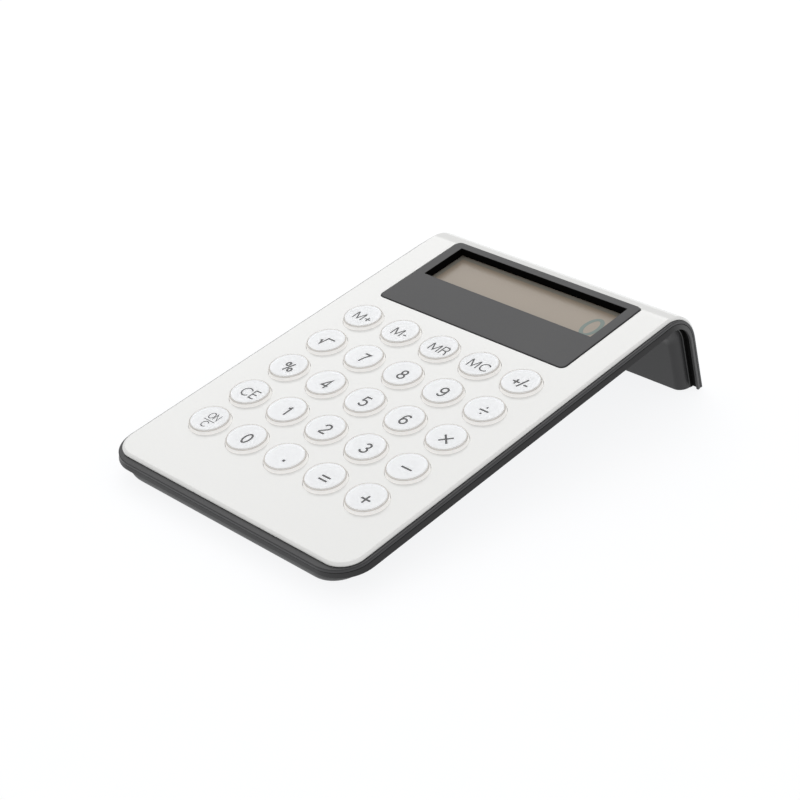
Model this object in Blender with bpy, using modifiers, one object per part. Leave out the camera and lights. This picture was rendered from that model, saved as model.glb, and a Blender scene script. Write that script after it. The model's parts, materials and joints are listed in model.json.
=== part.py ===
"""Desk calculator: a thin bent housing with a white cover, 25 clear keys and an LCD.

Lengths are in metres. Most parts are placed in the deck's own frame: its origin is the
centre of the middle key on the cover's top face, +X is the user's right, +Y runs up the
slope and +Z points out of the cover. The "deck" empty tilts that frame above the floor.
Bent shells are first made flat, with Y as the length along the cover's outer face, and
are then wrapped over the bend and down the leg.
"""

import math

import bmesh
import bpy
from mathutils import Matrix, Vector

MM = 0.001
GAP = 0.3 * MM

# Stance of the deck
TILT = math.radians(9.0)
DECK_HEIGHT = 18.55 * MM
DECK_SHIFT = -22.731 * MM
BODY_CLEARANCE = 0.5 * MM

# Bend at the back, measured on the cover's outer face
BEND_START = 84.9 * MM
BEND_RADIUS = 15.0 * MM
BEND_ANGLE = math.radians(82.3)
BEND_STEPS = 9
LEG_LENGTH = 26.0 * MM
SHELL_REAR = BEND_START + BEND_RADIUS * BEND_ANGLE + LEG_LENGTH
CAVITY_REAR = SHELL_REAR - 8.5 * MM

# White cover
COVER_HALF = 50.75 * MM
COVER_FRONT = -60.0 * MM
COVER_CORNER = 7.8 * MM
COVER_THICK = 1.0 * MM
COVER_EDGE = 0.7 * MM

# Upper housing, the plate under the cover
LIP_HALF = 51.9 * MM
LIP_FRONT = -62.3 * MM
LIP_CORNER = 10.8 * MM
LIP_LEG_HALF = 51.4 * MM
PLATE_TOP = -COVER_THICK - GAP
PLATE_LOW = -2.1 * MM
SKIRT_LOW = -3.4 * MM
SKIRT_THICK = 1.2 * MM
ROOT = 0.3 * MM
BOSS_RADIUS = 2.4 * MM
PILOT_TOP = -3.2 * MM
POST_RADIUS = 1.7 * MM
POST_SPOT = 25.5 * MM

# Lower housing, a rim around an inset box
RIM_HALF = 52.8 * MM
RIM_FRONT = -62.5 * MM
RIM_CORNER = 11.6 * MM
RIM_LEG_HALF = 51.7 * MM
RIM_TOP = PLATE_LOW - GAP
RIM_LOW = -3.8 * MM
BOX_HALF = 48.6 * MM
BOX_FRONT = -61.4 * MM
BOX_CORNER = 10.0 * MM
BOX_LOW = -8.6 * MM
BOX_EDGE = 3.2 * MM
BOX_WALL = 1.6 * MM
FLOOR_TOP = -7.3 * MM
CAVITY_EDGE = 2.2 * MM

# Both housings narrow over the bend, and grooves run down the leg beside the box
TAPER_START = 78.0 * MM
TAPER_END = 104.0 * MM
GROOVE_INNER = BOX_HALF + 0.2 * MM
GROOVE_OUTER = 50.9 * MM
GROOVE_TOP = -2.8 * MM
GROOVE_FRONT = 92.0 * MM
GROOVE_REAR = SHELL_REAR - 5.0 * MM

# Keys
KEY_PITCH = 17.0 * MM
KEY_RADIUS = 6.5 * MM
KEY_HOLE = 6.85 * MM
KEY_FLANGE = 7.4 * MM
KEY_FLANGE_TOP = PLATE_LOW - GAP
KEY_LOW = -2.9 * MM
KEY_TOP = 1.35 * MM
KEY_CHAMFER = 0.65 * MM
KEY_SIDES = 16
KEY_ROWS = (
    ("on_c", "0", "point", "equals", "plus"),
    ("ce", "1", "2", "3", "minus"),
    ("percent", "4", "5", "6", "multiply"),
    ("sqrt", "7", "8", "9", "divide"),
    ("m_plus", "m_minus", "mr", "mc", "sign"),
)

# Cutters that pass right through reach from one of these levels to the other
CUT_LOW = -12.0 * MM
CUT_HIGH = 3.0 * MM

# Bezel, window and display
BEZEL_HALF = 39.35 * MM
BEZEL_FRONT = 47.5 * MM
BEZEL_REAR = 87.3 * MM
BEZEL_CORNER = 2.4 * MM
BEZEL_GAP = 0.4 * MM
BEZEL_TOP = 0.2 * MM
BEZEL_LOW = -1.0 * MM
WINDOW_HALF = 35.73 * MM
WINDOW_FRONT = 65.55 * MM
WINDOW_REAR = 84.5 * MM
WELL_WALL = 1.2 * MM
WELL_LOW = -2.4 * MM
GLASS_HALF = 36.9 * MM
GLASS_FRONT = 63.9 * MM
GLASS_REAR = 86.4 * MM
GLASS_TOP = WELL_LOW - GAP
GLASS_LOW = -4.3 * MM
HOLDER_TOP = -2.8 * MM
HOLDER_LOW = -4.9 * MM
HOLDER_WALL = 1.0 * MM
HOLDER_LEDGE = 1.2 * MM
STRIP_HALF = 34.0 * MM
STRIP_FRONT = 64.0 * MM
STRIP_REAR = 65.6 * MM

# Board and mat
BOARD_HALF = 37.0 * MM
BOARD_FRONT = -44.0 * MM
BOARD_REAR = 67.0 * MM
BOARD_TOP = -6.2 * MM
BOARD_LOW = -7.0 * MM
MAT_HALF = 37.5 * MM
MAT_REACH = 41.5 * MM
MAT_TOP = -5.4 * MM
DOME_TOP = KEY_LOW - GAP
DOME_FOOT = 3.2 * MM
DOME_HEAD = 2.2 * MM
DOME_WALL = 0.6 * MM
DOME_ROOF = 1.0 * MM
POST_HOLE = 2.1 * MM
PARTS_Y = 52.0 * MM
CHIP_X = 8.0 * MM
CHIP_FOOT = 5.0 * MM
CHIP_HEAD = 3.2 * MM
CHIP_HEIGHT = 1.4 * MM
CAN_X = 24.0 * MM
CAN_RADIUS = 2.0 * MM
CAN_TOP = -3.4 * MM

# Battery bay
CELL_X = -24.0 * MM
CELL_Y = 51.7 * MM
CELL_RADIUS = 5.8 * MM
CELL_TOP = -3.6 * MM
CELL_LOW = -6.7 * MM
DOOR_LEFT = -31.2 * MM
DOOR_RIGHT = -12.5 * MM
DOOR_FRONT = 44.5 * MM
DOOR_REAR = 58.9 * MM
DOOR_TOP = BOX_LOW + 1.1 * MM
DOOR_SCREW_X = -14.8 * MM
DOOR_PAD = 3.2 * MM
DOOR_WELL = 1.6 * MM
DOOR_SEAT = 0.7 * MM
CELL_STEP = 0.7 * MM
BAY_GAP = 0.5 * MM
CONTACT_LEFT = -32.4 * MM
CONTACT_RIGHT = -19.0 * MM
CONTACT_HALF = 2.0 * MM
LEAF_TOP = -3.05 * MM
LEAF_LOW = -3.3 * MM
LEAF_THICK = 0.3 * MM
PLUS_TOP = -3.8 * MM
PLUS_HALF = 4.0 * MM
PLUS_FOOT_HALF = 3.0 * MM
PLUS_FOOT_REACH = 2.1 * MM
BRIDGE_LEFT = -17.2 * MM
BRIDGE_RIGHT = -9.0 * MM
BRIDGE_HALF = 3.0 * MM
BRIDGE_TOP = -4.8 * MM
DOOR_SHAFT_TOP = -5.5 * MM
DOOR_HEAD = 1.3 * MM
DOOR_HEAD_TOP = BOX_LOW + 0.4 * MM

# Case screws
SCREW_X = 40.6 * MM
SCREW_ROWS = (-53.0 * MM, 8.5 * MM, 56.0 * MM)
SCREW_HEAD = 2.0 * MM
SCREW_SHAFT = 0.8 * MM
SCREW_TOP = -3.6 * MM
SEAT_RADIUS = 2.9 * MM
SEAT_TOP = FLOOR_TOP + 1.0 * MM
SEAT_DEPTH = 1.4 * MM
SLOT_HALF = 1.2 * MM
SLOT_WIDTH = 0.5 * MM
SLOT_DEPTH = 0.4 * MM
HEAD_LOW = BOX_LOW + 0.1 * MM
HEAD_TOP = BOX_LOW + 1.1 * MM

# Feet
FOOT_LENGTH = 16.0 * MM
FOOT_WIDTH = 4.6 * MM
FRONT_FOOT_Y = -55.5 * MM
FOOT_X = 28.0 * MM
REAR_FOOT_WIDTH = 3.6 * MM
REAR_FOOT_TOP = 1.1 * MM


def clear_scene():
    """Start from an empty file."""
    for item in list(bpy.data.objects):
        bpy.data.objects.remove(item, do_unlink=True)


def new_collection(name):
    """Make a collection under the scene's own."""
    made = bpy.data.collections.new(name)
    bpy.context.scene.collection.children.link(made)
    return made


clear_scene()
PARTS = new_collection("desk_calculator")
CUTTERS = new_collection("cutters")
DECK = bpy.data.objects.new("deck", None)
PARTS.objects.link(DECK)
DECK.location = (0.0, DECK_SHIFT, DECK_HEIGHT)
DECK.rotation_euler = (TILT, 0.0, 0.0)


def material(name, colour, roughness, metallic=0.0):
    """A plain Principled material."""
    made = bpy.data.materials.new(name)
    made.use_nodes = True
    shader = made.node_tree.nodes["Principled BSDF"]
    shader.inputs["Base Color"].default_value = (*colour, 1.0)
    shader.inputs["Roughness"].default_value = roughness
    shader.inputs["Metallic"].default_value = metallic
    return made


def add_part(name, mesh, finish, parent=DECK, smooth=True):
    """Put a mesh in the scene as one named sub-part."""
    part = bpy.data.objects.new(name, mesh)
    PARTS.objects.link(part)
    part.parent = parent
    mesh.materials.clear()
    mesh.materials.append(finish)
    if smooth:
        mesh.shade_smooth()
        mesh.set_sharp_from_angle(angle=math.radians(35.0))
    return part


def to_mesh(name, form):
    """Turn a bmesh into a mesh and free it."""
    mesh = bpy.data.meshes.new(name)
    form.to_mesh(mesh)
    form.free()
    return mesh


def merge(name, meshes):
    """Collect several meshes in one, without joining them as solids."""
    form = bmesh.new()
    for mesh in meshes:
        form.from_mesh(mesh)
    return to_mesh(name, form)


def rounded_outline(half, front, rear, corner, rear_corner=0.0, steps=6):
    """Points around a rectangle whose front (and rear) corners are arcs or sharp."""
    corners = (
        (half - rear_corner, rear - rear_corner, rear_corner, 0.0),
        (-half + rear_corner, rear - rear_corner, rear_corner, 90.0),
        (-half + corner, front + corner, corner, 180.0),
        (half - corner, front + corner, corner, 270.0),
    )
    points = []
    for x, y, radius, start in corners:
        turns = range(steps + 1) if radius > 0.0 else [0]
        for step in turns:
            angle = math.radians(start + 90.0 * step / steps)
            points.append((x + radius * math.cos(angle), y + radius * math.sin(angle)))
    return points


def tapered_outline(half, leg_half, front, corner):
    """A housing's flat outline: round front corners, and narrower from the bend on."""
    points = rounded_outline(half, front, TAPER_START, corner)
    return [(leg_half, TAPER_END), (leg_half, SHELL_REAR), (-leg_half, SHELL_REAR),
            (-leg_half, TAPER_END)] + points[1:] + points[:1]


def prism(name, points, low, high):
    """A flat outline raised from low to high, as a filled 2D curve made a mesh."""
    curve = bpy.data.curves.new(name, "CURVE")
    curve.dimensions = "2D"
    curve.fill_mode = "BOTH"
    curve.extrude = (high - low) / 2.0
    spline = curve.splines.new("POLY")
    spline.points.add(len(points) - 1)
    for point, (x, y) in zip(spline.points, points):
        point.co = (x, y, 0.0, 1.0)
    spline.use_cyclic_u = True
    holder = bpy.data.objects.new(name, curve)
    CUTTERS.objects.link(holder)
    graph = bpy.context.evaluated_depsgraph_get()
    mesh = bpy.data.meshes.new_from_object(holder.evaluated_get(graph))
    bpy.data.objects.remove(holder)
    bpy.data.curves.remove(curve)
    form = bmesh.new()
    form.from_mesh(mesh)
    bmesh.ops.remove_doubles(form, verts=form.verts, dist=0.005 * MM)
    bmesh.ops.dissolve_limit(form, angle_limit=0.001, verts=form.verts, edges=form.edges)
    bmesh.ops.translate(form, verts=form.verts, vec=(0.0, 0.0, (high + low) / 2.0))
    bmesh.ops.recalc_face_normals(form, faces=form.faces)
    return to_mesh(name, form)


def box(name, x_range, y_range, z_range):
    """An axis-aligned block."""
    form = bmesh.new()
    bmesh.ops.create_cube(form, size=1.0)
    spans = (x_range, y_range, z_range)
    size = Vector([high - low for low, high in spans])
    middle = Vector([(high + low) / 2.0 for low, high in spans])
    bmesh.ops.scale(form, verts=form.verts, vec=size)
    bmesh.ops.translate(form, verts=form.verts, vec=middle)
    return to_mesh(name, form)


def cylinder(name, x, y, radius, low, high, sides=16, top_radius=None):
    """An upright cylinder or cone."""
    form = bmesh.new()
    bmesh.ops.create_cone(
        form, cap_ends=True, segments=sides, radius1=radius,
        radius2=radius if top_radius is None else top_radius, depth=high - low)
    bmesh.ops.translate(form, verts=form.verts, vec=(x, y, (high + low) / 2.0))
    return to_mesh(name, form)


def boolean(mesh, tool, operation):
    """Apply one exact Boolean to a mesh and return the result."""
    body = bpy.data.objects.new("body", mesh)
    other = bpy.data.objects.new("tool", tool)
    for item in (body, other):
        CUTTERS.objects.link(item)
    step = body.modifiers.new("boolean", "BOOLEAN")
    step.operation = operation
    step.solver = "EXACT"
    step.object = other
    graph = bpy.context.evaluated_depsgraph_get()
    made = bpy.data.meshes.new_from_object(body.evaluated_get(graph))
    for item in (body, other):
        bpy.data.objects.remove(item)
    return made


def joined(mesh, tools):
    """Unite a mesh with each tool in turn."""
    for tool in tools:
        mesh = boolean(mesh, tool, "UNION")
    return mesh


def cut(mesh, tools):
    """Cut each tool out of a mesh in turn."""
    for tool in tools:
        mesh = boolean(mesh, tool, "DIFFERENCE")
    return mesh


def round_edges_at(mesh, height, radius, segments, rear):
    """Round the outline's edges that lie at one height, except along the rear end."""
    form = bmesh.new()
    form.from_mesh(mesh)
    picked = []
    for edge in form.edges:
        level = all(abs(vert.co.z - height) < 0.01 * MM for vert in edge.verts)
        at_rear = all(vert.co.y > rear - 0.01 * MM for vert in edge.verts)
        if level and not at_rear and edge.calc_face_angle(0.0) > 0.5:
            picked.append(edge)
    bmesh.ops.bevel(form, geom=picked, offset=radius, segments=segments, profile=0.5,
                    affect="EDGES")
    return to_mesh(mesh.name, form)


def wrap_point(point):
    """Carry a point of a flat shell over the bend and down the leg."""
    if point.y <= BEND_START:
        return point.copy()
    swept = min((point.y - BEND_START) / BEND_RADIUS, BEND_ANGLE)
    beyond = point.y - BEND_START - BEND_RADIUS * swept
    radius = BEND_RADIUS + point.z
    y = BEND_START + radius * math.sin(swept) + beyond * math.cos(BEND_ANGLE)
    z = radius * math.cos(swept) - BEND_RADIUS - beyond * math.sin(BEND_ANGLE)
    return Vector((point.x, y, z))


def wrapped(mesh):
    """Cut a flat shell across the bend and wrap it."""
    form = bmesh.new()
    form.from_mesh(mesh)
    for step in range(BEND_STEPS + 1):
        line = BEND_START + BEND_RADIUS * BEND_ANGLE * step / BEND_STEPS
        bmesh.ops.bisect_plane(
            form, geom=form.verts[:] + form.edges[:] + form.faces[:], dist=0.001 * MM,
            plane_co=(0.0, line, 0.0), plane_no=(0.0, 1.0, 0.0))
    for vert in form.verts:
        vert.co = wrap_point(vert.co)
    bmesh.ops.recalc_face_normals(form, faces=form.faces)
    return to_mesh(mesh.name, form)


def floor_cutter():
    """A block that trims every shell level, just above the floor."""
    mesh = box("floor_cutter", (-80.0 * MM, 80.0 * MM), (-150.0 * MM, 150.0 * MM),
               (-40.0 * MM, BODY_CLEARANCE))
    block = bpy.data.objects.new("floor_cutter", mesh)
    CUTTERS.objects.link(block)
    block.hide_render = True
    block.display_type = "WIRE"
    return block


def trim(part, cutter):
    """Trim a part with a cutter, as a live Boolean."""
    step = part.modifiers.new(cutter.name, "BOOLEAN")
    step.operation = "DIFFERENCE"
    step.solver = "EXACT"
    step.object = cutter


def key_spots():
    """Name and centre of every key, row by row from the user."""
    spots = []
    for row, names in enumerate(KEY_ROWS):
        for column, name in enumerate(names):
            spots.append((name, (column - 2) * KEY_PITCH, (row - 2) * KEY_PITCH))
    return spots


def key_hole_tools():
    """The 25 key holes as one cutting mesh."""
    return merge("key_holes", [
        cylinder("key_hole", x, y, KEY_HOLE, CUT_LOW, CUT_HIGH, KEY_SIDES)
        for _, x, y in key_spots()])


def screw_spots():
    """Centres of the six case screws."""
    return [(side * SCREW_X, y) for y in SCREW_ROWS for side in (-1.0, 1.0)]


def post_spots():
    """Centres of the four posts that clamp the board, between the keys."""
    return [(x, y) for x in (-POST_SPOT, POST_SPOT) for y in (-POST_SPOT, POST_SPOT)]


def make_top_cover(finish, cutter):
    """White cover with key holes and the bezel opening."""
    outline = rounded_outline(COVER_HALF, COVER_FRONT, SHELL_REAR, COVER_CORNER)
    mesh = prism("top_cover", outline, -COVER_THICK, 0.0)
    mesh = round_edges_at(mesh, 0.0, COVER_EDGE, 1, SHELL_REAR)
    corner = BEZEL_CORNER + BEZEL_GAP
    opening = rounded_outline(BEZEL_HALF + BEZEL_GAP, BEZEL_FRONT - BEZEL_GAP,
                              BEZEL_REAR + BEZEL_GAP, corner, corner, 4)
    tools = [key_hole_tools(), prism("bezel_opening", opening, CUT_LOW, CUT_HIGH)]
    part = add_part("top_cover", wrapped(cut(mesh, tools)), finish)
    trim(part, cutter)


def make_upper_housing(finish, cutter):
    """Black plate under the cover, with a skirt, screw bosses and board posts."""
    outline = tapered_outline(LIP_HALF, LIP_LEG_HALF, LIP_FRONT, LIP_CORNER)
    mesh = prism("upper_housing", outline, PLATE_LOW, PLATE_TOP)
    inset = BOX_WALL + GAP
    outer = rounded_outline(BOX_HALF - inset, BOX_FRONT + inset, CAVITY_REAR - GAP,
                            BOX_CORNER - BOX_WALL, steps=4)
    reach = inset + SKIRT_THICK
    inner = rounded_outline(BOX_HALF - reach, BOX_FRONT + reach, CAVITY_REAR - SKIRT_THICK,
                            BOX_CORNER - reach, steps=4)
    root = PLATE_LOW + ROOT
    skirt = cut(prism("skirt", outer, SKIRT_LOW, root),
                [prism("skirt_inside", inner, CUT_LOW, CUT_HIGH)])
    bosses = [cylinder("boss", x, y, BOSS_RADIUS, SEAT_TOP + GAP, root, 12)
              for x, y in screw_spots()]
    posts = [cylinder("post", x, y, POST_RADIUS, BOARD_TOP + GAP, root, 10)
             for x, y in post_spots()]
    mesh = joined(mesh, [skirt] + bosses + posts)
    margin = WELL_WALL + BEZEL_GAP
    window = box("window", (-WINDOW_HALF - margin, WINDOW_HALF + margin),
                 (WINDOW_FRONT - margin, WINDOW_REAR + margin), (CUT_LOW, CUT_HIGH))
    pilots = merge("pilots", [
        cylinder("pilot", x, y, SCREW_SHAFT + GAP, CUT_LOW, PILOT_TOP, 10)
        for x, y in screw_spots()])
    tools = [key_hole_tools(), window, pilots]
    part = add_part("upper_housing", wrapped(cut(mesh, tools)), finish)
    trim(part, cutter)


def make_lower_housing(finish, cutter):
    """Black rim and inset box, open on top, with seats for screws, door and feet."""
    rim = prism("lower_housing",
                tapered_outline(RIM_HALF, RIM_LEG_HALF, RIM_FRONT, RIM_CORNER),
                RIM_LOW, RIM_TOP)
    tub = prism("tub", rounded_outline(BOX_HALF, BOX_FRONT, SHELL_REAR, BOX_CORNER),
                BOX_LOW, RIM_LOW + ROOT)
    tub = round_edges_at(tub, BOX_LOW, BOX_EDGE, 3, SHELL_REAR)
    cavity = prism("cavity", rounded_outline(
        BOX_HALF - BOX_WALL, BOX_FRONT + BOX_WALL, CAVITY_REAR, BOX_CORNER - BOX_WALL),
        FLOOR_TOP, CUT_HIGH)
    cavity = round_edges_at(cavity, FLOOR_TOP, CAVITY_EDGE, 2, CAVITY_REAR)
    grooves = [box("groove", span, (GROOVE_FRONT, GROOVE_REAR), (CUT_LOW, GROOVE_TOP))
               for span in ((-GROOVE_OUTER, -GROOVE_INNER), (GROOVE_INNER, GROOVE_OUTER))]
    mesh = cut(joined(rim, [tub]), [cavity] + grooves)
    seats = [cylinder("seat", x, y, SEAT_RADIUS, BOX_LOW + ROOT, SEAT_TOP, 12)
             for x, y in screw_spots()]
    span = (CELL_Y - BRIDGE_HALF, CELL_Y + BRIDGE_HALF)
    bridge = box("bridge", (BRIDGE_LEFT, BRIDGE_RIGHT), span, (DOOR_TOP + GAP, BRIDGE_TOP))
    bridge_foot = box("bridge_foot", (DOOR_RIGHT + GAP, BRIDGE_RIGHT), span,
                      (BOX_LOW + ROOT, DOOR_TOP + ROOT + GAP))
    opening = box("door_opening", (DOOR_LEFT - GAP, DOOR_RIGHT + GAP),
                  (DOOR_FRONT - GAP, DOOR_REAR + GAP), (CUT_LOW, FLOOR_TOP + ROOT))
    mesh = cut(joined(mesh, seats), [opening])
    mesh = joined(mesh, [bridge, bridge_foot])
    holes = [cylinder("hole", x, y, SCREW_SHAFT + GAP, CUT_LOW, BRIDGE_TOP, 10)
             for x, y in screw_spots()]
    wells = [cylinder("well", x, y, SCREW_HEAD + GAP, CUT_LOW, BOX_LOW + SEAT_DEPTH, 12)
             for x, y in screw_spots()]
    pilot = cylinder("door_pilot", DOOR_SCREW_X, CELL_Y, SCREW_SHAFT + GAP,
                     CUT_LOW, DOOR_SHAFT_TOP + GAP, 10)
    mesh = cut(mesh, [merge("holes", holes), merge("wells", wells), pilot])
    part = add_part("lower_housing", wrapped(mesh), finish)
    trim(part, cutter)
    for number, x in enumerate((-FOOT_X, FOOT_X)):
        trim(part, foot_pocket(number, x))


def rear_foot_y():
    """Floor position under the middle of the leg's hollow box."""
    depth = (FLOOR_TOP + RIM_TOP) / 2.0
    start = wrap_point(Vector((0.0, SHELL_REAR - LEG_LENGTH, depth)))
    world = Matrix.Rotation(TILT, 3, "X") @ start
    drop = DECK_HEIGHT + world.z
    lean = math.tan(TILT + math.pi / 2.0 - BEND_ANGLE)
    return DECK_SHIFT + world.y + drop * lean


def foot_pocket(number, x):
    """Cutter for a rear foot's pocket, in the world frame."""
    half = REAR_FOOT_WIDTH / 2.0 + GAP
    y = rear_foot_y()
    mesh = box("foot_pocket", (x - FOOT_LENGTH / 2.0 - GAP, x + FOOT_LENGTH / 2.0 + GAP),
               (y - half, y + half), (CUT_LOW, REAR_FOOT_TOP + GAP))
    pocket = bpy.data.objects.new("foot_pocket_%d" % number, mesh)
    CUTTERS.objects.link(pocket)
    pocket.hide_render = True
    pocket.display_type = "WIRE"
    return pocket


def stadium(x, y, length, width, steps=6):
    """Points around a bar with round ends."""
    radius = width / 2.0
    points = []
    for side in (1.0, -1.0):
        for step in range(steps + 1):
            angle = math.radians(-90.0 + 180.0 * step / steps)
            points.append((x + side * (length / 2.0 - radius + radius * math.cos(angle)),
                           y + side * radius * math.sin(angle)))
    return points


def make_feet(finish):
    """Two wedge feet under the front edge and two bars under the leg."""
    ground = box("ground", (-80.0 * MM, 80.0 * MM), (-150.0 * MM, 150.0 * MM),
                 (-40.0 * MM, 0.0))
    block = bpy.data.objects.new("ground_cutter", ground)
    CUTTERS.objects.link(block)
    block.hide_render = True
    block.display_type = "WIRE"
    for name, x in (("foot_front_left", -FOOT_X), ("foot_front_right", FOOT_X)):
        outline = stadium(x, FRONT_FOOT_Y, FOOT_LENGTH, FOOT_WIDTH)
        part = add_part(name, prism(name, outline, -12.0 * MM, BOX_LOW - GAP), finish)
        trim(part, block)
    for name, x in (("foot_rear_left", -FOOT_X), ("foot_rear_right", FOOT_X)):
        outline = stadium(0.0, 0.0, FOOT_LENGTH, REAR_FOOT_WIDTH)
        part = add_part(name, prism(name, outline, 0.0, REAR_FOOT_TOP), finish, parent=None)
        part.location = (x, rear_foot_y(), 0.0)


def make_keys(finish):
    """25 clear caps, turned from one profile that all of them share."""
    profile = (
        (0.0, KEY_TOP), (KEY_RADIUS - KEY_CHAMFER, KEY_TOP), (KEY_RADIUS, KEY_TOP - KEY_CHAMFER),
        (KEY_RADIUS, KEY_FLANGE_TOP), (KEY_FLANGE, KEY_FLANGE_TOP), (KEY_FLANGE, KEY_LOW),
        (0.0, KEY_LOW))
    mesh = bpy.data.meshes.new("key_profile")
    mesh.from_pydata([(x, 0.0, z) for x, z in profile],
                     [(i, i + 1) for i in range(len(profile) - 1)], [])
    mesh.materials.append(finish)
    for name, x, y in key_spots():
        key = bpy.data.objects.new("key_" + name, mesh)
        PARTS.objects.link(key)
        key.parent = DECK
        key.location = (x, y, 0.0)
        turn = key.modifiers.new("turn", "SCREW")
        turn.steps = KEY_SIDES
        turn.render_steps = KEY_SIDES
        turn.use_merge_vertices = True
        turn.merge_threshold = 0.01 * MM
        turn.use_smooth_shade = True


def make_display(bezel_finish, glass_finish, holder_finish, rubber_finish):
    """Bezel with its window well, the glass, its holder and the zebra strip."""
    face = prism("display_bezel", rounded_outline(
        BEZEL_HALF, BEZEL_FRONT, BEZEL_REAR, BEZEL_CORNER, BEZEL_CORNER),
        BEZEL_LOW, BEZEL_TOP)
    well = box("well", (-WINDOW_HALF - WELL_WALL, WINDOW_HALF + WELL_WALL),
               (WINDOW_FRONT - WELL_WALL, WINDOW_REAR + WELL_WALL),
               (WELL_LOW, BEZEL_TOP - ROOT))
    window = box("window", (-WINDOW_HALF, WINDOW_HALF), (WINDOW_FRONT, WINDOW_REAR),
                 (CUT_LOW, CUT_HIGH))
    add_part("display_bezel", cut(joined(face, [well]), [window]), bezel_finish)
    glass = box("lcd_glass", (-GLASS_HALF, GLASS_HALF), (GLASS_FRONT, GLASS_REAR),
                (GLASS_LOW, GLASS_TOP))
    add_part("lcd_glass", glass, glass_finish, smooth=False)
    side = GLASS_HALF + GAP
    around = (GLASS_FRONT - GAP, GLASS_REAR + GAP)
    frame = box("lcd_holder", (-side - HOLDER_WALL, side + HOLDER_WALL),
                (around[0] - HOLDER_WALL, around[1] + HOLDER_WALL), (HOLDER_LOW, HOLDER_TOP))
    pocket = box("pocket", (-side, side), around, (GLASS_LOW - GAP, CUT_HIGH))
    through = box("through", (-side + HOLDER_LEDGE, side - HOLDER_LEDGE), around,
                  (CUT_LOW, CUT_HIGH))
    add_part("lcd_holder", cut(frame, [pocket, through]), holder_finish, smooth=False)
    strip = box("zebra_strip", (-STRIP_HALF, STRIP_HALF), (STRIP_FRONT, STRIP_REAR),
                (BOARD_TOP + GAP, GLASS_LOW - GAP))
    add_part("zebra_strip", strip, rubber_finish, smooth=False)


def make_mat(finish):
    """Silicone mat with 25 hollow domes, pierced for the four board posts."""
    base = BOARD_TOP + GAP
    sheet = box("keypad_mat", (-MAT_HALF, MAT_HALF), (-MAT_REACH, MAT_REACH), (base, MAT_TOP))
    domes = merge("domes", [
        cylinder("dome", x, y, DOME_FOOT, MAT_TOP - ROOT, DOME_TOP, 10, DOME_HEAD)
        for _, x, y in key_spots()])
    hollows = merge("hollows", [
        cylinder("hollow", x, y, DOME_FOOT - DOME_WALL, base - ROOT, DOME_TOP - DOME_ROOF, 10,
                 DOME_HEAD - DOME_WALL)
        for _, x, y in key_spots()])
    holes = merge("post_holes", [
        cylinder("post_hole", x, y, POST_HOLE, CUT_LOW, CUT_HIGH, 10) for x, y in post_spots()])
    add_part("keypad_mat", cut(joined(sheet, [domes]), [hollows, holes]), finish)


def make_board(finish, chip_finish, part_finish):
    """Circuit board with a bay for the cell, the chip's resin blob and a capacitor."""
    board = box("main_pcb", (-BOARD_HALF, BOARD_HALF), (BOARD_FRONT, BOARD_REAR),
                (BOARD_LOW, BOARD_TOP))
    bay = cylinder("bay", CELL_X, CELL_Y, CELL_RADIUS + BAY_GAP, CUT_LOW, CUT_HIGH, 24)
    notch = box("notch", (CELL_X, BRIDGE_RIGHT + GAP),
                (CELL_Y - BRIDGE_HALF - GAP, CELL_Y + BRIDGE_HALF + GAP), (CUT_LOW, CUT_HIGH))
    add_part("main_pcb", cut(board, [bay, notch]), finish, smooth=False)
    base = BOARD_TOP + GAP
    blob = cylinder("controller_chip", CHIP_X, PARTS_Y, CHIP_FOOT, base, base + CHIP_HEIGHT, 20,
                    CHIP_HEAD)
    add_part("controller_chip", blob, chip_finish)
    can = cylinder("capacitor", CAN_X, PARTS_Y, CAN_RADIUS, base, CAN_TOP, 16)
    add_part("capacitor", can, part_finish)


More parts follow.
